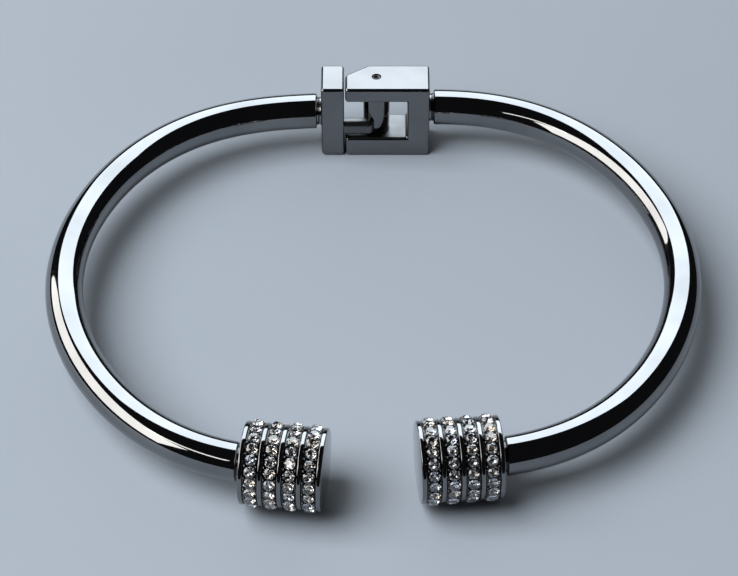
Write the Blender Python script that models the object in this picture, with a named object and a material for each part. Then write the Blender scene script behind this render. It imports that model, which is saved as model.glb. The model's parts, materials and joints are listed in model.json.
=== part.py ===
"""Spring-hinged bangle bracelet: two bent steel tubes, a pinned hinge block and two crystal-set end barrels.

Lengths are written in millimetres and scaled to metres by MM. +Z runs up along the hinge pin, +Y points from the
opening to the hinge, and the finished part stands on the floor plane with its bounding box centred on the origin.
"""

import math

import bmesh
import bpy
from mathutils import Matrix, Vector

MM = 0.001

# The bent tubes: an oval centreline, a little squared, turned slightly about the hinge line.
OVAL_MEAN_R = 30.9
OVAL_STRETCH = 0.079
OVAL_SQUARING = -0.0255
OVAL_SHOULDER = 0.0072
OVAL_TURN = math.radians(3.4)
ARM_END_ANGLE = math.radians(26.3)  # from the middle of the opening to the end of each tube
TUBE_R = 2.0
TUBE_BORE_R = 1.25
TUBE_SIDES = 20
TUBE_STEPS = 28

# The hinge block, measured from the oval's centre.
PIN_X = 0.35
PIN_Y = 27.3
BLOCK_FRONT_Y = 24.9
BLOCK_BACK_Y = 29.5
BLOCK_HALF_H = 4.8
BLOCK_BEVEL = 0.34
FORK_RIGHT_X = 6.35
FORK_BAR_X = 3.87
FORK_LEFT_X = -3.18
FORK_CHAMFER_X = 2.6
FORK_CHAMFER_Y = 1.75
SLOT_TOP = 2.9
SLOT_BOTTOM = -2.3
BAR_LEFT_X = -5.9
BAR_RIGHT_X = -3.3
KNUCKLE_R = 1.5
KNUCKLE_BORE_R = 1.2
KNUCKLE_ROOF = 1.0
TAB_FRONT_Y = 25.1
TAB_BACK_Y = 26.6
TAB_TOP = -0.3
PIN_R = 0.5
PIN_RECESS = 0.1
RUNNING_GAP = 0.05
FACE_GAP = 0.03
WASHER_THICK = 0.18

# The torsion spring inside the knuckle.
SPRING_R = 0.85
SPRING_WIRE_R = 0.12
SPRING_TURNS = 8
SPRING_PITCH = 0.38
SPRING_POINTS = 12
SPRING_LEG = 1.0

# Necks and pegs that join the tubes to the block and to the barrels.
NECK_LENGTH = 0.45
NECK_R = 1.65
PEG_R = 1.05
PEG_HOLE_R = 1.15
PEG_IN_TUBE = 1.3
PEG_IN_BLOCK = 1.2
PEG_IN_BARREL = 2.6

# The crystal barrels at the opening, turned towards each other from the tubes' own direction.
BARREL_STRAIGHTEN = math.radians(6.0)
ROW_COUNT = 4
RING_PITCH = 1.93
RING_THICK = 0.5
RING_R = 4.15
CHANNEL_R = 3.4
BARREL_SIDES = 36
STONES_PER_ROW = 21
STONE_BED_R = 3.47
STONE_EDGE_R = 3.85
STONE_TABLE_R = 4.4
STONE_SIDE_GAP = 0.05
CAP_STEM = 2.0
CAP_EASE = 0.12

ROUND_SIDES = 20
AXIS_EPS = 1e-6


def steel(name, shade, roughness):
    """Principled metal material with a neutral shade."""
    mat = bpy.data.materials.new(name)
    mat.use_nodes = True
    surface = mat.node_tree.nodes["Principled BSDF"]
    surface.inputs["Base Color"].default_value = (shade, shade, shade * 1.02, 1.0)
    surface.inputs["Metallic"].default_value = 1.0
    surface.inputs["Roughness"].default_value = roughness
    return mat


def crystal(name):
    """Principled clear glass material for the stones."""
    mat = bpy.data.materials.new(name)
    mat.use_nodes = True
    surface = mat.node_tree.nodes["Principled BSDF"]
    surface.inputs["Base Color"].default_value = (0.93, 0.95, 0.97, 1.0)
    surface.inputs["Metallic"].default_value = 0.0
    surface.inputs["Roughness"].default_value = 0.03
    surface.inputs["Transmission Weight"].default_value = 0.6
    return mat


def frame_along(origin, direction):
    """Matrix whose Z axis lies along a horizontal direction and whose Y axis is up."""
    z_axis = direction.normalized()
    y_axis = Vector((0.0, 0.0, 1.0))
    x_axis = y_axis.cross(z_axis)
    turn = Matrix((x_axis, y_axis, z_axis)).transposed()
    return Matrix.Translation(origin * MM) @ turn.to_4x4()


def add_object(name, bm, mat, parent=None, matrix=Matrix.Identity(4)):
    """Turn a bmesh in millimetres into a named object in metres."""
    bmesh.ops.recalc_face_normals(bm, faces=bm.faces)
    bmesh.ops.scale(bm, vec=(MM, MM, MM), verts=bm.verts)
    mesh = bpy.data.meshes.new(name)
    bm.to_mesh(mesh)
    bm.free()
    mesh.materials.append(mat)
    mesh.shade_smooth()
    mesh.set_sharp_from_angle(angle=math.radians(32.0))
    obj = bpy.data.objects.new(name, mesh)
    bpy.context.scene.collection.objects.link(obj)
    obj.parent = parent
    obj.matrix_basis = matrix
    return obj


def add_cutter(name, bm, parent, matrix=Matrix.Identity(4)):
    """Add a hidden object that only shapes others."""
    cutter = add_object(name, bm, bpy.data.materials["cutter"], parent, matrix)
    cutter.hide_render = True
    cutter.display_type = "WIRE"
    return cutter


def combine(obj, tool, operation):
    """Add an exact Boolean of a hidden tool to an object."""
    boolean = obj.modifiers.new(tool.name, "BOOLEAN")
    boolean.object = tool
    boolean.operation = operation
    boolean.solver = "EXACT"


def soften(obj, width=BLOCK_BEVEL):
    """Bevel an object's sharp edges with a narrow flat."""
    bevel = obj.modifiers.new("edge_bevel", "BEVEL")
    bevel.width = width * MM
    bevel.segments = 2
    bevel.limit_method = "ANGLE"
    bevel.angle_limit = math.radians(32.0)


def turned(profile, sides):
    """Turn (radius, height) points about Z. A profile that never meets the axis closes on itself as a ring."""
    bm = bmesh.new()
    loops = []
    for radius, height in profile:
        if radius < AXIS_EPS:
            loops.append([bm.verts.new((0.0, 0.0, height))])
            continue
        loop = []
        for side in range(sides):
            angle = 2.0 * math.pi * side / sides
            loop.append(bm.verts.new((radius * math.cos(angle), radius * math.sin(angle), height)))
        loops.append(loop)
    following = loops[1:]
    if profile[0][0] > AXIS_EPS:
        following = following + loops[:1]
    for low, high in zip(loops, following):
        stitch(bm, low, high, sides)
    return bm


def stitch(bm, low, high, sides):
    """Join two loops of vertices with faces. A loop may be a single vertex."""
    for side in range(sides):
        after = (side + 1) % sides
        corners = [low[side % len(low)], low[after % len(low)], high[after % len(high)], high[side % len(high)]]
        bm.faces.new(list(dict.fromkeys(corners)))


def cylinder(radius, bottom, top, sides=ROUND_SIDES):
    """Plain cylinder about Z."""
    return turned([(0.0, bottom), (radius, bottom), (radius, top), (0.0, top)], sides)


def ring(inner, outer, bottom, top, edge=0.04, sides=ROUND_SIDES):
    """Flat ring about Z with small outer chamfers."""
    profile = [
        (inner, bottom),
        (outer - edge, bottom),
        (outer, bottom + edge),
        (outer, top - edge),
        (outer - edge, top),
        (inner, top),
    ]
    return turned(profile, sides)


def prism(outline, bottom, top):
    """Extrude an (x, y) outline from one height to another."""
    bm = bmesh.new()
    low = [bm.verts.new((x, y, bottom)) for x, y in outline]
    high = [bm.verts.new((x, y, top)) for x, y in outline]
    bm.faces.new(low)
    bm.faces.new(high)
    stitch(bm, low, high, len(outline))
    return bm


def box(x_span, y_span, z_span):
    """Rectangular block between two limits on each axis."""
    corners = [(x_span[0], y_span[0]), (x_span[1], y_span[0]), (x_span[1], y_span[1]), (x_span[0], y_span[1])]
    return prism(corners, z_span[0], z_span[1])


def oval(angle):
    """Point on the bangle's centreline at a polar angle, measured from the hinge pin."""
    turn = angle - OVAL_TURN
    radius = OVAL_MEAN_R * (
        1.0
        + OVAL_STRETCH * math.cos(2.0 * turn)
        + OVAL_SQUARING * math.cos(4.0 * turn)
        + OVAL_SHOULDER * math.cos(6.0 * turn)
    )
    return Vector((radius * math.cos(angle) - PIN_X, radius * math.sin(angle) - PIN_Y, 0.0))


def angle_at(x, low, high):
    """Polar angle between two limits at which the centreline crosses an x, by bisection."""
    for _ in range(50):
        middle = 0.5 * (low + high)
        if (oval(middle).x - x) * (oval(low).x - x) > 0.0:
            low = middle
        else:
            high = middle
    return 0.5 * (low + high)


def heading(angle, side):
    """Direction along the centreline at an angle, from the hinge towards the opening, on one side."""
    step = 0.001
    return (oval(angle - side * step) - oval(angle + side * step)).normalized()


def tube_body(start, end, side, start_face, end_face):
    """Hollow tube swept along the centreline, each end cut square to a face direction."""
    bm = bmesh.new()
    shells = {TUBE_R: [], TUBE_BORE_R: []}
    for step in range(TUBE_STEPS + 1):
        angle = start + (end - start) * step / TUBE_STEPS
        centre = oval(angle)
        along = heading(angle, side)
        across = Vector((-along.y, along.x, 0.0))
        face = {0: start_face, TUBE_STEPS: end_face}.get(step, along)
        for radius, loops in shells.items():
            loop = []
            for index in range(TUBE_SIDES):
                turn = 2.0 * math.pi * index / TUBE_SIDES
                offset = across * (radius * math.cos(turn)) + Vector((0.0, 0.0, radius * math.sin(turn)))
                offset -= along * (offset.dot(face) / along.dot(face))
                loop.append(bm.verts.new(centre + offset))
            loops.append(loop)
    for loops in shells.values():
        for low, high in zip(loops, loops[1:]):
            stitch(bm, low, high, TUBE_SIDES)
    for end_index in (0, -1):
        stitch(bm, shells[TUBE_R][end_index], shells[TUBE_BORE_R][end_index], TUBE_SIDES)
    return bm


def barrel_core():
    """Spool with a fin before each crystal row and a bore, from its tube end at z = 0."""
    profile = []
    for index in range(ROW_COUNT):
        bottom = index * RING_PITCH
        top = bottom + RING_THICK
        profile += [(CHANNEL_R, bottom), (RING_R, bottom), (RING_R, top), (CHANNEL_R, top)]
    length = ROW_COUNT * RING_PITCH - FACE_GAP
    profile[0] = (PEG_HOLE_R, 0.0)
    profile += [(CHANNEL_R, length), (PEG_HOLE_R, length)]
    return turned(profile, BARREL_SIDES)


def crystal_row():
    """One row of stones: a thin bed ring that rises to a square table at each stone."""
    half = 0.5 * (RING_PITCH - RING_THICK) - STONE_SIDE_GAP
    table = 0.5 * half
    shapes = ((0.0, STONE_EDGE_R), (0.24, STONE_TABLE_R), (0.76, STONE_TABLE_R))
    bm = bmesh.new()
    loops = []
    for stone in range(STONES_PER_ROW):
        for share, peak in shapes:
            angle = 2.0 * math.pi * (stone + share) / STONES_PER_ROW
            section = [
                (STONE_BED_R, -half),
                (STONE_EDGE_R, -half),
                (peak, -table),
                (peak, table),
                (STONE_EDGE_R, half),
                (STONE_BED_R, half),
            ]
            loops.append([bm.verts.new((r * math.cos(angle), r * math.sin(angle), z)) for r, z in section])
    for low, high in zip(loops, loops[1:] + loops[:1]):
        stitch(bm, low, high, len(low))
    return bm


def end_cap():
    """Flat end disc that closes the last crystal row, with an eased rim and a stem in the barrel's bore."""
    bottom = ROW_COUNT * RING_PITCH
    top = bottom + RING_THICK
    profile = [
        (0.0, bottom - CAP_STEM),
        (PEG_R, bottom - CAP_STEM),
        (PEG_R, bottom),
        (RING_R, bottom),
        (RING_R, top - CAP_EASE),
        (RING_R - CAP_EASE, top),
        (0.0, top),
    ]
    return turned(profile, BARREL_SIDES)


def build_arm(side, label, parent, block_x, metal, glass):
    """One tube with its necks, pegs and crystal barrel. side is +1 on the right and -1 on the left."""
    outward = Vector((side, 0.0, 0.0))
    tube_x = block_x + side * (NECK_LENGTH + 2.0 * FACE_GAP)
    quarter = 0.5 * math.pi
    start = angle_at(tube_x, quarter, quarter - side * 1.0)
    end = -quarter + ARM_END_ANGLE if side > 0 else 3.0 * quarter - ARM_END_ANGLE
    axis = Matrix.Rotation(-side * BARREL_STRAIGHTEN, 3, "Z") @ heading(end, side)
    add_object(f"{label}_tube", tube_body(start, end, side, outward, axis), metal["mirror"], parent)

    neck_frame = frame_along(Vector((block_x, oval(start).y, 0.0)), outward)
    neck = ring(PEG_HOLE_R, NECK_R, FACE_GAP, FACE_GAP + NECK_LENGTH)
    add_object(f"{label}_hinge_neck", neck, metal["satin"], parent, neck_frame)
    peg = cylinder(PEG_R, -PEG_IN_BLOCK, NECK_LENGTH + PEG_IN_TUBE)
    add_object(f"{label}_hinge_peg", peg, metal["raw"], parent, neck_frame)

    barrel_frame = frame_along(oval(end), axis)
    barrel_start = NECK_LENGTH + 2.0 * FACE_GAP
    neck = ring(PEG_HOLE_R, NECK_R, FACE_GAP, FACE_GAP + NECK_LENGTH)
    add_object(f"{label}_barrel_neck", neck, metal["satin"], parent, barrel_frame)
    peg = cylinder(PEG_R, -PEG_IN_TUBE, barrel_start + PEG_IN_BARREL)
    add_object(f"{label}_barrel_peg", peg, metal["raw"], parent, barrel_frame)

    along_barrel = barrel_frame @ Matrix.Translation((0.0, 0.0, barrel_start * MM))
    add_object(f"{label}_barrel_core", barrel_core(), metal["mirror"], parent, along_barrel)
    for row in range(ROW_COUNT):
        middle = RING_THICK + row * RING_PITCH + 0.5 * (RING_PITCH - RING_THICK)
        row_frame = along_barrel @ Matrix.Translation((0.0, 0.0, middle * MM))
        add_object(f"{label}_crystal_row_{row + 1}", crystal_row(), glass, parent, row_frame)
    add_object(f"{label}_end_cap", end_cap(), metal["mirror"], parent, along_barrel)
    return neck_frame


def build_fork(parent, neck_frame, metal):
    """Right half of the hinge block: two plates joined by a bar, with the pin through both plates."""
    front = BLOCK_FRONT_Y - PIN_Y
    back = BLOCK_BACK_Y - PIN_Y
    left = FORK_LEFT_X - PIN_X
    right = FORK_RIGHT_X - PIN_X
    outline = [
        (left, front),
        (right, front),
        (right, back),
        (left + FORK_CHAMFER_X, back),
        (left, back - FORK_CHAMFER_Y),
    ]
    fork = add_object("fork_bracket", prism(outline, -BLOCK_HALF_H, BLOCK_HALF_H), metal["mirror"], parent)
    slot = box((left - 1.0, FORK_BAR_X - PIN_X), (front - 1.0, back + 1.0), (SLOT_BOTTOM, SLOT_TOP))
    combine(fork, add_cutter("cut_slot", slot, parent), "DIFFERENCE")
    soften(fork)
    reach = BLOCK_HALF_H + 1.0
    pin_hole = cylinder(PIN_R + RUNNING_GAP, -reach, reach)
    combine(fork, add_cutter("cut_pin_hole", pin_hole, parent), "DIFFERENCE")
    peg_hole = cylinder(PEG_HOLE_R, -PEG_IN_BLOCK - FACE_GAP, 1.0)
    combine(fork, add_cutter("cut_fork_peg_hole", peg_hole, parent, neck_frame), "DIFFERENCE")
    leg_hole = cylinder(2.0 * SPRING_WIRE_R, SLOT_BOTTOM - SPRING_LEG, SLOT_BOTTOM + 0.5, 10)
    leg_place = Matrix.Translation((SPRING_R * MM, 0.0, 0.0))
    combine(fork, add_cutter("cut_leg_hole", leg_hole, parent, leg_place), "DIFFERENCE")


def build_knuckle(parent, neck_frame, metal):
    """Left half of the hinge block: a bar, a tab and the hollow knuckle round the pin."""
    x_span = (BAR_LEFT_X - PIN_X, BAR_RIGHT_X - PIN_X)
    y_span = (BLOCK_FRONT_Y - PIN_Y, BLOCK_BACK_Y - PIN_Y)
    bar = box(x_span, y_span, (-BLOCK_HALF_H, BLOCK_HALF_H))
    bracket = add_object("knuckle_bracket", bar, metal["mirror"], parent)
    soften(bracket)
    bottom = SLOT_BOTTOM + WASHER_THICK + 2.0 * FACE_GAP
    top = SLOT_TOP - WASHER_THICK - 2.0 * FACE_GAP
    tab = box((x_span[1] - 0.8, -0.3), (TAB_FRONT_Y - PIN_Y, TAB_BACK_Y - PIN_Y), (bottom, TAB_TOP))
    combine(bracket, add_cutter("add_tab", tab, parent), "UNION")
    combine(bracket, add_cutter("add_knuckle", cylinder(KNUCKLE_R, bottom, top, 32), parent), "UNION")
    step = top - KNUCKLE_ROOF
    bore = turned(
        [
            (0.0, bottom - 1.0),
            (KNUCKLE_BORE_R, bottom - 1.0),
            (KNUCKLE_BORE_R, step),
            (PIN_R + RUNNING_GAP, step),
            (PIN_R + RUNNING_GAP, top + 1.0),
            (0.0, top + 1.0),
        ],
        ROUND_SIDES,
    )
    combine(bracket, add_cutter("cut_knuckle_bore", bore, parent), "DIFFERENCE")
    peg_hole = cylinder(PEG_HOLE_R, -PEG_IN_BLOCK - FACE_GAP, 1.0)
    combine(bracket, add_cutter("cut_knuckle_peg_hole", peg_hole, parent, neck_frame), "DIFFERENCE")


def build_pin_parts(parent, metal):
    """The pin, both washers and the torsion spring, which stay with the fork."""
    end = BLOCK_HALF_H - PIN_RECESS
    edge = 0.1
    pin = turned(
        [(0.0, -end), (PIN_R - edge, -end), (PIN_R, edge - end), (PIN_R, end - edge), (PIN_R - edge, end), (0.0, end)],
        ROUND_SIDES,
    )
    add_object("hinge_pin", pin, metal["raw"], parent)
    low = SLOT_BOTTOM + FACE_GAP
    washer = ring(KNUCKLE_BORE_R - 0.1, KNUCKLE_R - 0.05, low, low + WASHER_THICK)
    add_object("lower_washer", washer, metal["satin"], parent)
    high = SLOT_TOP - FACE_GAP
    washer = ring(PIN_R + RUNNING_GAP, KNUCKLE_R - 0.05, high - WASHER_THICK, high)
    add_object("upper_washer", washer, metal["satin"], parent)

    start = SLOT_BOTTOM + 0.5
    points = [(SPRING_R, 0.0, start - SPRING_LEG)]
    for index in range(SPRING_TURNS * SPRING_POINTS + 1):
        turn = 2.0 * math.pi * index / SPRING_POINTS
        rise = SPRING_PITCH * index / SPRING_POINTS
        points.append((SPRING_R * math.cos(turn), SPRING_R * math.sin(turn), start + rise))
    curve = bpy.data.curves.new("torsion_spring", "CURVE")
    curve.dimensions = "3D"
    curve.bevel_depth = SPRING_WIRE_R * MM
    curve.bevel_resolution = 1
    curve.use_fill_caps = True
    curve.materials.append(metal["raw"])
    spline = curve.splines.new("POLY")
    spline.points.add(len(points) - 1)
    for target, point in zip(spline.points, points):
        target.co = (*(Vector(point) * MM), 1.0)
    spring = bpy.data.objects.new("torsion_spring", curve)
    bpy.context.scene.collection.objects.link(spring)
    spring.parent = parent


def half_frame(name, location):
    """Empty on the pin's axis that carries one half of the bangle."""
    empty = bpy.data.objects.new(name, None)
    empty.empty_display_size = 5.0 * MM
    bpy.context.scene.collection.objects.link(empty)
    empty.location = location
    return empty


def stand_on_floor(frames):
    """Move the halves so that the bounding box stands on z = 0, centred on the origin."""
    bpy.context.view_layer.update()
    corners = []
    for obj in bpy.data.objects:
        if obj.type == "MESH" and not obj.hide_render:
            corners += [obj.matrix_world @ vertex.co for vertex in obj.data.vertices]
    low = Vector(min(corner[axis] for corner in corners) for axis in range(3))
    high = Vector(max(corner[axis] for corner in corners) for axis in range(3))
    for frame in frames:
        frame.location -= Vector((0.5 * (low.x + high.x), 0.5 * (low.y + high.y), low.z))


def main():
    for obj in list(bpy.data.objects):
        bpy.data.objects.remove(obj, do_unlink=True)
    metal = {
        "mirror": steel("polished_steel", 0.78, 0.05),
        "satin": steel("satin_steel", 0.62, 0.2),
        "raw": steel("raw_steel", 0.5, 0.3),
    }
    bpy.data.materials.new("cutter")
    glass = crystal("clear_crystal")
    right_half = half_frame("right_half_frame", (0.0, 0.0, 0.0))
    left_half = half_frame("left_half_frame", (0.0, 0.0, 0.0))
    right_neck = build_arm(1, "right", right_half, FORK_RIGHT_X - PIN_X, metal, glass)
    left_neck = build_arm(-1, "left", left_half, BAR_LEFT_X - PIN_X, metal, glass)
    build_fork(right_half, right_neck, metal)
    build_knuckle(left_half, left_neck, metal)
    build_pin_parts(right_half, metal)
    stand_on_floor((right_half, left_half))


main()
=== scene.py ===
"""Polished steel hinged bangle with crystal-set barrel ends, on a plain floor in soft studio light.

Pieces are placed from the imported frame. The oval and the sections of the tubes, block and barrels
repeat the CAD's values. Lengths are named in millimetres and scaled to metres by MM.
"""

import json
import math
import random

import bmesh
import bpy
from mathutils import Matrix, Vector


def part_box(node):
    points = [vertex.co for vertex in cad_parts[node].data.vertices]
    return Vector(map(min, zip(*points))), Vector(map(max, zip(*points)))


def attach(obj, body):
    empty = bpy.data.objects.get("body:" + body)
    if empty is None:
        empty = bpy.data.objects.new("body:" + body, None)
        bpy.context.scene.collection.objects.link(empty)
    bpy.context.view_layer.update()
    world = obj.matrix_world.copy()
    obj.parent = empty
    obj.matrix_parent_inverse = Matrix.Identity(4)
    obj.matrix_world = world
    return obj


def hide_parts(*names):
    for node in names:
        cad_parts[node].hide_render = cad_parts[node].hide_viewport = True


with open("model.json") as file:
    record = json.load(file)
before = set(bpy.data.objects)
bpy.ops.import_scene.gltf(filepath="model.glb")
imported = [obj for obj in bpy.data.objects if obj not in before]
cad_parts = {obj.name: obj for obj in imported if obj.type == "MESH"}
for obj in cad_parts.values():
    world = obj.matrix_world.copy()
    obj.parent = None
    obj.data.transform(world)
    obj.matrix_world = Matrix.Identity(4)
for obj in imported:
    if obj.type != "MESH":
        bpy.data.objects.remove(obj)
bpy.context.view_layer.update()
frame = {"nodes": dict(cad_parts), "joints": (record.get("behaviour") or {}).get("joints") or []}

MM = 0.001
CREASE_DEGREES = 32.0

# The oval that both tubes follow, as in the CAD, with the pin's place in it.
OVAL_MEAN_R = 30.9 * MM
OVAL_STRETCH = 0.079
OVAL_SQUARING = -0.0255
OVAL_SHOULDER = 0.0072
OVAL_TURN = math.radians(3.4)
PIN_IN_OVAL = Vector((0.35 * MM, 27.3 * MM, 0.0))
TUBE_R = 2.0 * MM
TUBE_SIDES = 64
TUBE_STEPS = 180
TUBE_END_EASE = 0.18 * MM
BORE_R = 1.15 * MM
HALF_NECK = 0.225 * MM
NECK_WAIST = 0.93

# The hinge block.
BLOCK_BEVEL = 0.38 * MM
FORK_BAR = 2.48 * MM
FORK_CHAMFER_X = 2.6 * MM
FORK_CHAMFER_Y = 1.75 * MM
LEFT_BAR = 2.6 * MM
KNUCKLE_R = 1.5 * MM
KNUCKLE_BORE_R = 1.2 * MM
KNUCKLE_ROOF = 1.0 * MM
TAB_FRONT = 0.2 * MM
TAB_THICK = 1.5 * MM
TAB_TOP_BELOW_AXIS = 0.3 * MM
TAB_ROUND = 0.6 * MM
TAB_IN_BAR = 0.8 * MM
TAB_SHORT_OF_PIN = 0.3 * MM
PIN_R = 0.5 * MM
PIN_HOLE_R = 0.55 * MM
PIN_EASE = 0.1 * MM
DIMPLE_DEPTH = 0.4 * MM
DIMPLE_R = 0.36 * MM
CUT_MARGIN = 1.0 * MM
FACE_GAP = 0.03 * MM
EASE = 0.07 * MM

# The crystal barrels.
FIN_R = 4.15 * MM
FIN_THICK = 0.5 * MM
FIN_EASE = 0.17 * MM
CHANNEL_R = 3.4 * MM
ROUND_SIDES = 96
STONES_PER_ROW = 21
STONE_R = 0.6 * MM
STONE_TILT = 7.0
GIRDLE_R = 4.08 * MM
STONE_UNEVEN = 0.02 * MM
CROWN_H = 0.25 * MM
PAVILION_H = 0.42 * MM
HALF_GIRDLE = 0.02 * MM
BED_R = 3.62 * MM
BED_LIP = 0.12 * MM
BEAD_R = 0.13 * MM
BEAD_SEAT_R = 4.02 * MM
BEAD_SIDE = 0.56 * MM

# The camera: one long lens, looking down at the opening side.
CAMERA_ELEVATION = math.radians(43.5)
CAMERA_DISTANCE = 277.7 * MM
CAMERA_AIM_FROM_PIN = Vector((-0.84 * MM, -29.48 * MM, 0.0))
CAMERA_LENS = 128.2
SENSOR_WIDTH = 36.0

# The stage.
SOFTBOX_AWAY = 0.6
COOL_LIGHT = (0.84, 0.93, 1.0)
WARM_LIGHT = (1.0, 0.98, 0.94)
FLOOR_LIGHT = (0.9, 0.95, 1.0)
FLOOR_REACH = 3.0

RNG_SEED = 11


# ---------------------------------------------------------------- materials


def principled(name):
    """New node material and its Principled shader."""
    mat = bpy.data.materials.new(name)
    mat.use_nodes = True
    return mat, mat.node_tree.nodes["Principled BSDF"]


def add_node(mat, kind, **values):
    """Add a node and set its input sockets by name."""
    node = mat.node_tree.nodes.new(kind)
    for socket, value in values.items():
        node.inputs[socket.replace("_", " ")].default_value = value
    return node


def noise(mat, scale, detail=3.0, stretch=(1.0, 1.0, 1.0)):
    """Noise in object space. stretch above 1 makes it finer along that axis."""
    place = add_node(mat, "ShaderNodeTexCoord")
    mapping = add_node(mat, "ShaderNodeMapping", Scale=stretch)
    texture = add_node(mat, "ShaderNodeTexNoise", Scale=scale, Detail=detail)
    mat.node_tree.links.new(place.outputs["Object"], mapping.inputs["Vector"])
    mat.node_tree.links.new(mapping.outputs["Vector"], texture.inputs["Vector"])
    return texture.outputs["Fac"]


def ramp(mat, source, low, high, start=0.3, end=0.7):
    """Blend between two colours as a value goes from start to end."""
    node = mat.node_tree.nodes.new("ShaderNodeValToRGB")
    node.color_ramp.elements[0].position = start
    node.color_ramp.elements[1].position = end
    node.color_ramp.elements[0].color = (*low, 1.0)
    node.color_ramp.elements[1].color = (*high, 1.0)
    mat.node_tree.links.new(source, node.inputs["Fac"])
    return node.outputs["Color"]


def remap(mat, source, low, high):
    """Map noise's middle range to the range low to high."""
    node = add_node(mat, "ShaderNodeMapRange")
    node.inputs["From Min"].default_value = 0.3
    node.inputs["From Max"].default_value = 0.7
    node.inputs["To Min"].default_value = low
    node.inputs["To Max"].default_value = high
    mat.node_tree.links.new(source, node.inputs["Value"])
    return node.outputs["Result"]


def bump(mat, shader, source, strength, distance):
    """Drive a shader's normal with a height."""
    node = add_node(mat, "ShaderNodeBump", Strength=strength, Distance=distance)
    mat.node_tree.links.new(source, node.inputs["Height"])
    mat.node_tree.links.new(node.outputs["Normal"], shader.inputs["Normal"])


def steel(name, low, high, rough, grain, grain_stretch, grain_strength):
    """Steel with cloudy tone, uneven polish and a fine grain of hairline scratches."""
    mat, shader = principled(name)
    links = mat.node_tree.links
    shader.inputs["Metallic"].default_value = 1.0
    links.new(ramp(mat, noise(mat, 160.0), low, high), shader.inputs["Base Color"])
    links.new(remap(mat, noise(mat, 900.0, 5.0), *rough), shader.inputs["Roughness"])
    bump(mat, shader, noise(mat, grain, 6.0, grain_stretch), grain_strength, 0.00001)
    return mat


def crystal_material():
    """Clear cut glass whose tint drifts from faint amber to faint blue between stones."""
    mat, shader = principled("cut_crystal")
    links = mat.node_tree.links
    tint = ramp(mat, noise(mat, 620.0), (1.0, 0.87, 0.72), (0.80, 0.86, 1.0), 0.38, 0.62)
    links.new(tint, shader.inputs["Base Color"])
    links.new(remap(mat, noise(mat, 2500.0), 0.0, 0.02), shader.inputs["Roughness"])
    shader.inputs["IOR"].default_value = 2.1
    shader.inputs["Transmission Weight"].default_value = 1.0
    return mat


def floor_material():
    """Plain pale cool grey."""
    mat, shader = principled("studio_floor")
    links = mat.node_tree.links
    tone = ramp(mat, noise(mat, 9.0), (0.315, 0.345, 0.385), (0.345, 0.375, 0.415))
    links.new(tone, shader.inputs["Base Color"])
    shader.inputs["Roughness"].default_value = 0.8
    return mat


MIRROR = steel(
    "mirror_steel",
    low=(0.205, 0.206, 0.21),
    high=(0.25, 0.252, 0.256),
    rough=(0.02, 0.06),
    grain=1400.0,
    grain_stretch=(1.0, 1.0, 9.0),
    grain_strength=0.04,
)
BLOCK = steel(
    "block_steel",
    low=(0.18, 0.18, 0.184),
    high=(0.215, 0.215, 0.219),
    rough=(0.05, 0.12),
    grain=1800.0,
    grain_stretch=(1.0, 12.0, 1.0),
    grain_strength=0.1,
)
# Painted shade: this steel is darker to stand for the shade inside the fork's slot and on the tab that sits
# in it. Its roughness and grain are a milled face's.
SHADED_SLOT_STEEL = steel(
    "milled_steel_painted_shade",
    low=(0.12, 0.12, 0.124),
    high=(0.17, 0.17, 0.174),
    rough=(0.30, 0.42),
    grain=2400.0,
    grain_stretch=(9.0, 1.0, 1.0),
    grain_strength=0.3,
)
SATIN = steel(
    "satin_steel",
    low=(0.22, 0.22, 0.225),
    high=(0.29, 0.29, 0.295),
    rough=(0.12, 0.22),
    grain=2600.0,
    grain_stretch=(8.0, 1.0, 8.0),
    grain_strength=0.2,
)
RAW = steel(
    "raw_steel",
    low=(0.05, 0.05, 0.053),
    high=(0.10, 0.10, 0.104),
    rough=(0.3, 0.45),
    grain=3200.0,
    grain_stretch=(1.0, 1.0, 1.0),
    grain_strength=0.3,
)
BED = steel(
    "foiled_bed",
    low=(0.03, 0.03, 0.03),
    high=(0.10, 0.10, 0.10),
    rough=(0.12, 0.25),
    grain=3000.0,
    grain_stretch=(1.0, 1.0, 1.0),
    grain_strength=0.2,
)
CRYSTAL = crystal_material()


# ---------------------------------------------------------------- mesh tools


def make_object(name, bm, mat, matrix=Matrix.Identity(4), sharp=CREASE_DEGREES):
    """Turn a bmesh into a linked object with smooth shading and sharp creases."""
    bmesh.ops.recalc_face_normals(bm, faces=bm.faces)
    mesh = bpy.data.meshes.new(name)
    bm.to_mesh(mesh)
    bm.free()
    mesh.transform(matrix)
    mesh.materials.append(mat)
    mesh.shade_smooth()
    mesh.set_sharp_from_angle(angle=math.radians(sharp))
    obj = bpy.data.objects.new(name, mesh)
    bpy.context.scene.collection.objects.link(obj)
    return obj


def finish_piece(obj, body, slot, *nodes):
    """Hang a piece on its body and hide the CAD nodes that it stands for. The slot argument is not used."""
    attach(obj, body)
    if nodes:
        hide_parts(*nodes)
    return obj


def stitch(bm, low, high, sides):
    """Join two loops of vertices with faces. A loop may be a single vertex."""
    for side in range(sides):
        after = (side + 1) % sides
        corners = [low[side % len(low)], low[after % len(low)]]
        corners += [high[after % len(high)], high[side % len(high)]]
        bm.faces.new(list(dict.fromkeys(corners)))


def turned(profile, sides=ROUND_SIDES):
    """Turn (radius, height) points about Z. A profile off the axis closes on itself as a ring."""
    bm = bmesh.new()
    loops = []
    for radius, height in profile:
        if radius < 1e-9:
            loops.append([bm.verts.new((0.0, 0.0, height))])
            continue
        turns = [2.0 * math.pi * side / sides for side in range(sides)]
        loops.append([bm.verts.new((radius * math.cos(t), radius * math.sin(t), height)) for t in turns])
    following = loops[1:] + (loops[:1] if profile[0][0] > 1e-9 else [])
    for low, high in zip(loops, following):
        stitch(bm, low, high, sides)
    return bm


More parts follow.
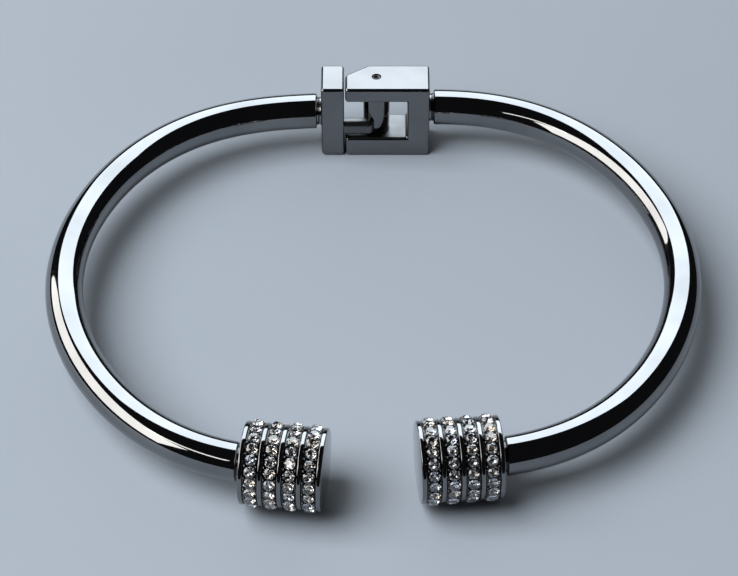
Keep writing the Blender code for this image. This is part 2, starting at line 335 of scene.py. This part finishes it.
def eased(corners, ease, steps=3):
    """Round the corners marked True in a list of (radius, height, marked) profile points."""
    points = []
    count = len(corners)
    for index, (radius, height, marked) in enumerate(corners):
        here = Vector((radius, height))
        if not marked:
            points.append((radius, height))
            continue
        before = Vector(corners[(index - 1) % count][:2])
        after = Vector(corners[(index + 1) % count][:2])
        start = here + (before - here).normalized() * ease
        end = here + (after - here).normalized() * ease
        for step in range(steps + 1):
            share = step / steps
            first = start.lerp(here, share)
            second = here.lerp(end, share)
            points.append(tuple(first.lerp(second, share)))
    return points


def frame_along(origin, direction):
    """Matrix whose Z axis lies along a horizontal direction and whose Y axis is up."""
    z_axis = direction.normalized()
    y_axis = Vector((0.0, 0.0, 1.0))
    x_axis = y_axis.cross(z_axis)
    return Matrix.Translation(origin) @ Matrix((x_axis, y_axis, z_axis)).transposed().to_4x4()


def prism(outline, bottom, top):
    """Extrude an (x, y) outline from one height to another."""
    bm = bmesh.new()
    low = [bm.verts.new((x, y, bottom)) for x, y in outline]
    high = [bm.verts.new((x, y, top)) for x, y in outline]
    bm.faces.new(low)
    bm.faces.new(high)
    stitch(bm, low, high, len(outline))
    return bm


def box(low, high):
    """Rectangular block between two corners."""
    outline = [(low[0], low[1]), (high[0], low[1]), (high[0], high[1]), (low[0], high[1])]
    return prism(outline, low[2], high[2])


def bevel(obj, width, segments=4):
    """Round an object's sharp edges."""
    modifier = obj.modifiers.new("bevel", "BEVEL")
    modifier.width = width
    modifier.segments = segments
    modifier.limit_method = "ANGLE"
    modifier.angle_limit = math.radians(CREASE_DEGREES)


def boolean(obj, tool, operation):
    """Join or cut with another object, whose faces bring their own finish."""
    modifier = obj.modifiers.new(tool.name, "BOOLEAN")
    modifier.object = tool
    modifier.operation = operation
    modifier.solver = "EXACT"
    modifier.material_mode = "TRANSFER"


def settle(obj, tools):
    """Apply an object's modifiers, remove its tools, and shade flats flat and rounds round."""
    bpy.context.view_layer.update()
    graph = bpy.context.evaluated_depsgraph_get()
    mesh = bpy.data.meshes.new_from_object(obj.evaluated_get(graph))
    obj.modifiers.clear()
    obj.data = mesh
    for tool in tools:
        bpy.data.objects.remove(tool, do_unlink=True)
    mesh.shade_smooth()
    mesh.set_sharp_from_angle(angle=math.radians(CREASE_DEGREES))
    weighted = obj.modifiers.new("weighted_normals", "WEIGHTED_NORMAL")
    weighted.keep_sharp = True
    return obj


def centre(node):
    """Middle of a CAD node's box."""
    low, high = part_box(node)
    return 0.5 * (low + high)


# ---------------------------------------------------------------- tubes and necks

PIN = Vector(frame["joints"][0]["pos_m"])
OVAL_CENTRE = PIN - PIN_IN_OVAL


def oval(angle):
    """Point on the tubes' centreline at a polar angle."""
    turn = angle - OVAL_TURN
    radius = OVAL_MEAN_R * (
        1.0
        + OVAL_STRETCH * math.cos(2.0 * turn)
        + OVAL_SQUARING * math.cos(4.0 * turn)
        + OVAL_SHOULDER * math.cos(6.0 * turn)
    )
    return OVAL_CENTRE + Vector((radius * math.cos(angle), radius * math.sin(angle), 0.0))


def polar(point):
    """Polar angle of a point about the oval's centre, from -90 to 270 degrees."""
    offset = point - OVAL_CENTRE
    angle = math.atan2(offset.y, offset.x)
    return angle if angle > -0.5 * math.pi else angle + 2.0 * math.pi


def barrel_axis(label):
    """Direction of a barrel, from its tube to the opening."""
    return (centre(f"{label}_crystal_row_4") - centre(f"{label}_crystal_row_1")).normalized()


def arm_tube(label, side):
    """One bent tube from the hinge neck to the barrel neck, with eased ends cut square to the necks."""
    neck_low, neck_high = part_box(f"{label}_hinge_neck")
    face_x = (neck_high.x if side > 0 else neck_low.x) + side * FACE_GAP
    start = polar(Vector((face_x, centre(f"{label}_hinge_neck").y, 0.0)))
    end = polar(centre(f"{label}_barrel_neck"))
    end += side * (HALF_NECK + FACE_GAP) / OVAL_MEAN_R
    if side > 0 and end > math.pi:
        end -= 2.0 * math.pi
    bm = bmesh.new()
    length = OVAL_MEAN_R * abs(end - start)
    shares = [0.0, 0.25 * TUBE_END_EASE / length, 0.55 * TUBE_END_EASE / length, TUBE_END_EASE / length]
    inner = [step / TUBE_STEPS for step in range(1, TUBE_STEPS)]
    shares = shares + inner + [1.0 - share for share in reversed(shares)]
    loops = []
    for share in shares:
        angle = start + (end - start) * share
        point = oval(angle)
        along = (oval(angle + 0.001) - oval(angle - 0.001)).normalized()
        across = Vector((-along.y, along.x, 0.0))
        reach = min(share, 1.0 - share) * length / TUBE_END_EASE
        drop = 1.0 - math.sqrt(max(0.0, 1.0 - (1.0 - reach) ** 2)) if reach < 1.0 else 0.0
        radius = TUBE_R - TUBE_END_EASE * drop
        face = along
        if reach < 1.001:
            face = Vector((side, 0.0, 0.0)) if share < 0.5 else barrel_axis(label)
        loop = []
        for index in range(TUBE_SIDES):
            turn = 2.0 * math.pi * index / TUBE_SIDES
            offset = across * radius * math.cos(turn) + Vector((0.0, 0.0, radius * math.sin(turn)))
            offset -= along * (offset.dot(face) / along.dot(face))
            loop.append(bm.verts.new(point + offset))
        loops.append(loop)
    for low, high in zip(loops, loops[1:]):
        stitch(bm, low, high, TUBE_SIDES)
    bm.faces.new(loops[0])
    bm.faces.new(loops[-1])
    tube = make_object(f"{label}_arm_tube", bm, MIRROR, sharp=40.0)
    return finish_piece(tube, f"{label}_half", "polished_steel", f"{label}_tube")


def neck(label, place, direction):
    """Small turned collar with a waist, between a tube and what holds it."""
    node = f"{label}_{place}_neck"
    low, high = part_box(node)
    radius = 0.5 * (high.z - low.z)
    half = HALF_NECK + FACE_GAP
    corners = [
        (BORE_R, -half, False),
        (radius, -half, True),
        (NECK_WAIST * radius, 0.0, False),
        (radius, half, True),
        (BORE_R, half, False),
    ]
    place_matrix = frame_along(centre(node), direction)
    piece = make_object(f"{label}_{place}_collar", turned(eased(corners, EASE), 64), SATIN, place_matrix)
    return finish_piece(piece, f"{label}_half", "satin_steel", node)


# ---------------------------------------------------------------- crystal barrels


def around(share, turn, height):
    """Point at a share of a stone's radius, at an angle and a height."""
    return (share * STONE_R * math.cos(turn), share * STONE_R * math.sin(turn), height)


def brilliant(bm, matrix):
    """One round brilliant: table, crown, thin girdle and pointed pavilion, as a convex faceted body."""
    points = []
    for index in range(8):
        turn = 0.25 * math.pi * index
        between = turn + 0.125 * math.pi
        points.append(around(0.56, turn, CROWN_H))
        points.append(around(0.80, between, 0.66 * CROWN_H))
        points.append(around(0.46, between, -0.6 * PAVILION_H))
    for index in range(16):
        turn = 0.125 * math.pi * index
        for height in (HALF_GIRDLE, -HALF_GIRDLE):
            points.append(around(1.0, turn, height))
    points.append((0.0, 0.0, -PAVILION_H))
    verts = [bm.verts.new(matrix @ Vector(point)) for point in points]
    hull = bmesh.ops.convex_hull(bm, input=verts)
    loose = [v for v in hull["geom_interior"] + hull["geom_unused"] if isinstance(v, bmesh.types.BMVert)]
    bmesh.ops.delete(bm, geom=loose, context="VERTS")


def seat(turn, radius, side=0.0):
    """Place on a row: Z points outward at an angle round the barrel, X lies along the barrel."""
    outward = Vector((math.cos(turn), math.sin(turn), 0.0))
    along = Vector((0.0, 0.0, 1.0))
    cross = outward.cross(along)
    turn_matrix = Matrix((along, cross, outward)).transposed().to_4x4()
    return Matrix.Translation(outward * radius + along * side) @ turn_matrix


def stone_row(label, row, place, rng):
    """The stones of one row, each turned and tipped a little, as hand setting leaves them."""
    bm = bmesh.new()
    for stone in range(STONES_PER_ROW):
        turn = 2.0 * math.pi * (stone + 0.5) / STONES_PER_ROW
        spin = Matrix.Rotation(rng.uniform(0.0, math.pi), 4, "Z")
        tip = Matrix.Rotation(math.radians(rng.uniform(-STONE_TILT, STONE_TILT)), 4, "X")
        lean = Matrix.Rotation(math.radians(rng.uniform(-STONE_TILT, STONE_TILT)), 4, "Y")
        height = GIRDLE_R + rng.uniform(-STONE_UNEVEN, STONE_UNEVEN)
        brilliant(bm, seat(turn, height) @ tip @ lean @ spin)
    stones = make_object(f"{label}_stones_{row}", bm, CRYSTAL, place, sharp=1.0)
    stones.data.shade_flat()
    return finish_piece(stones, f"{label}_half", "crystal", f"{label}_crystal_row_{row}")


def bed_row(label, row, place, width):
    """The metal bed under one row, with a bead on each side of every gap between stones."""
    half = 0.5 * width
    profile = [
        (CHANNEL_R + FACE_GAP, -half),
        (BEAD_SEAT_R, -half),
        (BEAD_SEAT_R, BED_LIP - half),
        (BED_R, BED_LIP - half),
        (BED_R, half - BED_LIP),
        (BEAD_SEAT_R, half - BED_LIP),
        (BEAD_SEAT_R, half),
        (CHANNEL_R + FACE_GAP, half),
    ]
    bed = make_object(f"{label}_bed_{row}", turned(profile), BED, place)
    finish_piece(bed, f"{label}_half", "satin_steel")
    bm = bmesh.new()
    for stone in range(STONES_PER_ROW):
        turn = 2.0 * math.pi * stone / STONES_PER_ROW
        for side in (-BEAD_SIDE, BEAD_SIDE):
            matrix = seat(turn, BEAD_SEAT_R, side) @ Matrix.Diagonal((0.8, 1.0, 1.25, 1.0))
            bmesh.ops.create_icosphere(bm, subdivisions=2, radius=BEAD_R, matrix=matrix)
    beads = make_object(f"{label}_beads_{row}", bm, MIRROR, place, sharp=60.0)
    finish_piece(beads, f"{label}_half", "polished_steel")


def barrel(label, rng):
    """Spool with four fins, an end cap that is the fifth, and four rows of set stones."""
    rows = [centre(f"{label}_crystal_row_{row}") for row in (1, 2, 3, 4)]
    axis = barrel_axis(label)
    pitch = (rows[3] - rows[0]).length / 3.0
    middle = frame_along(0.5 * (rows[0] + rows[3]), axis)
    corners = []
    for index in range(4):
        height = (index - 2.0) * pitch
        low = height - 0.5 * FIN_THICK
        high = height + 0.5 * FIN_THICK
        corners += [(CHANNEL_R, low, False), (FIN_R, low, True)]
        corners += [(FIN_R, high, True), (CHANNEL_R, high, False)]
    corners[0] = (BORE_R, corners[0][1], False)
    end = 2.0 * pitch - 0.5 * FIN_THICK
    corners += [(CHANNEL_R, end - FACE_GAP, False), (BORE_R, end - FACE_GAP, False)]
    spool = make_object(f"{label}_barrel_spool", turned(eased(corners, FIN_EASE, 5)), MIRROR, middle)
    finish_piece(spool, f"{label}_half", "polished_steel", f"{label}_barrel_core")

    cap_corners = [
        (0.0, end, False),
        (FIN_R, end, True),
        (FIN_R, end + FIN_THICK, True),
        (0.0, end + FIN_THICK, False),
    ]
    cap = make_object(f"{label}_barrel_cap", turned(eased(cap_corners, FIN_EASE, 5)), MIRROR, middle)
    finish_piece(cap, f"{label}_half", "polished_steel", f"{label}_end_cap")

    for row, place in enumerate(rows, start=1):
        row_place = frame_along(place, axis)
        bed_row(label, row, row_place, pitch - FIN_THICK - 2.0 * FACE_GAP)
        stone_row(label, row, row_place, rng)
    return axis


# ---------------------------------------------------------------- hinge block


def slot_heights():
    """Lower and upper face of the fork's slot, from the washers that lie on them."""
    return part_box("lower_washer")[0].z - FACE_GAP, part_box("upper_washer")[1].z + FACE_GAP


def hinge_fork():
    """Two plates and a bar, with the chamfered back corner and the pin's hole."""
    low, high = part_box("fork_bracket")
    slot_low, slot_high = slot_heights()
    outline = [
        (low.x, low.y),
        (high.x, low.y),
        (high.x, high.y),
        (low.x + FORK_CHAMFER_X, high.y),
        (low.x, high.y - FORK_CHAMFER_Y),
    ]
    fork = make_object("hinge_fork", prism(outline, low.z, high.z), BLOCK)
    slot_near = (low.x - CUT_MARGIN, low.y - CUT_MARGIN, slot_low)
    slot_far = (high.x - FORK_BAR, high.y + CUT_MARGIN, slot_high)
    # The slot's cut faces take the darker steel: painted shade inside the slot.
    slot = make_object("slot", box(slot_near, slot_far), SHADED_SLOT_STEEL)
    below = low.z - CUT_MARGIN
    above = high.z + CUT_MARGIN
    hole_profile = [(0.0, below), (PIN_HOLE_R, below), (PIN_HOLE_R, above), (0.0, above)]
    hole = make_object("hole", turned(hole_profile, 48), BLOCK, Matrix.Translation((PIN.x, PIN.y, 0.0)))
    boolean(fork, slot, "DIFFERENCE")
    bevel(fork, BLOCK_BEVEL)
    boolean(fork, hole, "DIFFERENCE")
    settle(fork, (slot, hole))
    return finish_piece(fork, "right_half", "polished_steel", "fork_bracket")


def hinge_knuckle():
    """Left bar with its tab and the hollow knuckle round the pin."""
    low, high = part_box("knuckle_bracket")
    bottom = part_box("lower_washer")[1].z + FACE_GAP
    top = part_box("upper_washer")[0].z - FACE_GAP
    bar_right = low.x + LEFT_BAR
    knuckle = make_object("hinge_knuckle", box(low, (bar_right, high.y, high.z)), BLOCK)
    bevel(knuckle, BLOCK_BEVEL)
    tab_low = (bar_right - TAB_IN_BAR, low.y + TAB_FRONT, bottom)
    tab_high = (PIN.x - TAB_SHORT_OF_PIN, low.y + TAB_FRONT + TAB_THICK, PIN.z - TAB_TOP_BELOW_AXIS)
    # The tab takes the darker steel too: painted shade under the top plate.
    tab = make_object("tab", box(tab_low, tab_high), SHADED_SLOT_STEEL)
    bevel(tab, TAB_ROUND, 8)
    at_pin = Matrix.Translation((PIN.x, PIN.y, 0.0))
    outer = [(0.0, bottom, False), (KNUCKLE_R, bottom, True), (KNUCKLE_R, top, True), (0.0, top, False)]
    barrel_tool = make_object("barrel_tool", turned(eased(outer, EASE), 96), BLOCK, at_pin)
    below = bottom - CUT_MARGIN
    above = top + CUT_MARGIN
    roof = top - KNUCKLE_ROOF
    bore_profile = [(0.0, below), (KNUCKLE_BORE_R, below), (KNUCKLE_BORE_R, roof)]
    bore_profile += [(PIN_HOLE_R, roof), (PIN_HOLE_R, above), (0.0, above)]
    bore = make_object("bore", turned(bore_profile, 48), BLOCK, at_pin)
    boolean(knuckle, tab, "UNION")
    boolean(knuckle, barrel_tool, "UNION")
    boolean(knuckle, bore, "DIFFERENCE")
    settle(knuckle, (tab, barrel_tool, bore))
    return finish_piece(knuckle, "left_half", "polished_steel", "knuckle_bracket")


def hinge_rivet():
    """The pin, with a conical dimple in each end."""
    low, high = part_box("hinge_pin")
    corners = [
        (0.0, low.z + DIMPLE_DEPTH, False),
        (DIMPLE_R, low.z, False),
        (PIN_R, low.z, True),
        (PIN_R, high.z, True),
        (DIMPLE_R, high.z, False),
        (0.0, high.z - DIMPLE_DEPTH, False),
    ]
    place = Matrix.Translation((PIN.x, PIN.y, 0.0))
    rivet = make_object("hinge_rivet", turned(eased(corners, PIN_EASE), 48), RAW, place)
    return finish_piece(rivet, "right_half", "raw_steel", "hinge_pin")


def finish_inner_nodes():
    """Give the CAD nodes that stay inside the hinge and the tubes their metal."""
    for name, node in frame["nodes"].items():
        if name.endswith("_peg") or name == "torsion_spring":
            node.data.materials.clear()
            node.data.materials.append(RAW)
        if name.endswith("_washer"):
            node.data.materials.clear()
            node.data.materials.append(SATIN)


# ---------------------------------------------------------------- stage


def area_light(name, direction, distance, size, power, colour):
    """Softbox of a width and height that faces the object from a direction."""
    data = bpy.data.lights.new(name, "AREA")
    data.shape = "RECTANGLE"
    data.size, data.size_y = size
    data.energy = power
    data.color = colour
    light = bpy.data.objects.new(name, data)
    bpy.context.scene.collection.objects.link(light)
    toward = Vector(direction).normalized()
    light.location = toward * distance
    light.rotation_euler = toward.to_track_quat("Z", "Y").to_euler()
    return light


def build_stage():
    """Floor with its own overhead light, and softboxes and a dim surround for steel and stones to reflect."""
    floor_box = box((-FLOOR_REACH, -FLOOR_REACH, -0.02), (FLOOR_REACH, FLOOR_REACH, 0.0))
    floor = make_object("floor", floor_box, floor_material())
    back = area_light("back_softbox", (0.03, 0.75, 0.66), SOFTBOX_AWAY, (0.66, 0.56), 5.0, COOL_LIGHT)
    left = area_light("left_softbox", (-0.87, 0.08, 0.46), SOFTBOX_AWAY, (0.9, 0.36), 3.9, WARM_LIGHT)
    strip = area_light("front_strip", (-0.59, -0.43, 0.69), SOFTBOX_AWAY, (0.35, 0.05), 0.21, WARM_LIGHT)
    for softbox in (back, left, strip):
        softbox.visible_diffuse = False
    overhead = area_light("overhead_light", (-0.55, -0.12, 0.82), 0.9, (0.8, 0.8), 15.0, FLOOR_LIGHT)
    overhead.visible_glossy = False
    overhead.visible_transmission = False
    world = bpy.data.worlds.new("dim_surround")
    world.use_nodes = True
    world.node_tree.nodes["Background"].inputs["Color"].default_value = (0.014, 0.0145, 0.016, 1.0)
    bpy.context.scene.world = world
    bpy.context.scene.view_settings.view_transform = "Standard"


def build_camera():
    """Long lens at the height of a person looking down at the bangle on a table."""
    data = bpy.data.cameras.new("camera")
    data.lens = CAMERA_LENS
    data.sensor_width = SENSOR_WIDTH
    data.clip_start = 0.01
    camera = bpy.data.objects.new("camera", data)
    bpy.context.scene.collection.objects.link(camera)
    aim = PIN + CAMERA_AIM_FROM_PIN
    away = Vector((0.0, -math.cos(CAMERA_ELEVATION), math.sin(CAMERA_ELEVATION)))
    camera.location = aim + away * CAMERA_DISTANCE
    camera.rotation_euler = away.to_track_quat("Z", "Y").to_euler()
    bpy.context.scene.camera = camera


def main():
    rng = random.Random(RNG_SEED)
    for label, side in (("right", 1), ("left", -1)):
        arm_tube(label, side)
        neck(label, "hinge", Vector((side, 0.0, 0.0)))
        axis = barrel(label, rng)
        neck(label, "barrel", axis)
    hinge_fork()
    hinge_knuckle()
    hinge_rivet()
    finish_inner_nodes()
    build_stage()
    build_camera()


main()
